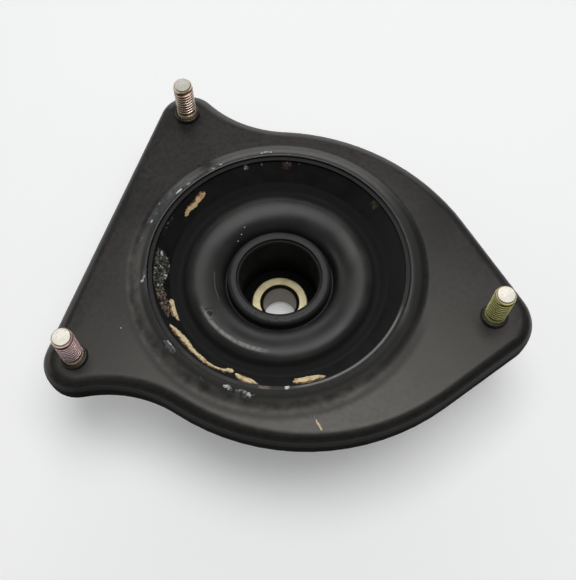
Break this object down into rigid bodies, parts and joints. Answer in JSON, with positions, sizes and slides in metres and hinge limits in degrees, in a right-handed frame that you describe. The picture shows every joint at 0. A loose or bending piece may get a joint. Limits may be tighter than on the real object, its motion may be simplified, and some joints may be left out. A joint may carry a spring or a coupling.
{
  "type": "strut mount",
  "caption": "Strut top mount: pressed steel plate with studs, bonded rubber bush and a sealed ball bearing that carries the strut rod.",
  "frame": {"origin": "on the bore axis of the bearing, in the plane of its balls", "axes": "+Z along the bore, up out of the plate's studded face; +X along the plate's axis towards the lobe with the single stud"},
  "size_m": [0.1714, 0.141, 0.068],
  "materials": {
    "coated_steel": "satin black coat, scuffed at the rim",
    "yellow_zinc": "yellow zinc plate",
    "bonded_rubber": "satin, worn",
    "seal_rubber": "matt",
    "bearing_steel": "ground",
    "cage_nylon": "moulded",
    "spring_steel": "phosphated"
  },
  "bodies": {
    "housing": {"mounting_plate": "coated_steel", "mounting_studs": "yellow_zinc", "outer_cup": "coated_steel", "rubber_bush": "bonded_rubber", "bearing_sleeve": "coated_steel", "bearing_outer_ring": "bearing_steel", "upper_seal": "seal_rubber", "lower_seal": "seal_rubber", "retaining_ring": "spring_steel"},
    "inner_race": {"bearing_inner_ring": "bearing_steel"},
    "cage": {"ball_cage": "cage_nylon", "bearing_ball_1": "bearing_steel", "bearing_ball_2": "bearing_steel", "bearing_ball_3": "bearing_steel", "bearing_ball_4": "bearing_steel", "bearing_ball_5": "bearing_steel", "bearing_ball_6": "bearing_steel", "bearing_ball_7": "bearing_steel", "bearing_ball_8": "bearing_steel"}
  },
  "joints": [
    {"name": "rod_turn", "type": "hinge", "parent": "housing", "child": "inner_race", "pos_m": [0, 0, 0], "axis": [0, 0, 1], "continuous": true},
    {"name": "cage_turn", "type": "hinge", "parent": "housing", "child": "cage", "pos_m": [0, 0, 0], "axis": [0, 0, 1], "continuous": true}
  ],
  "couplings": [
    {"joint": "cage_turn", "follows": "rod_turn", "ratio": 0.3612}
  ]
}
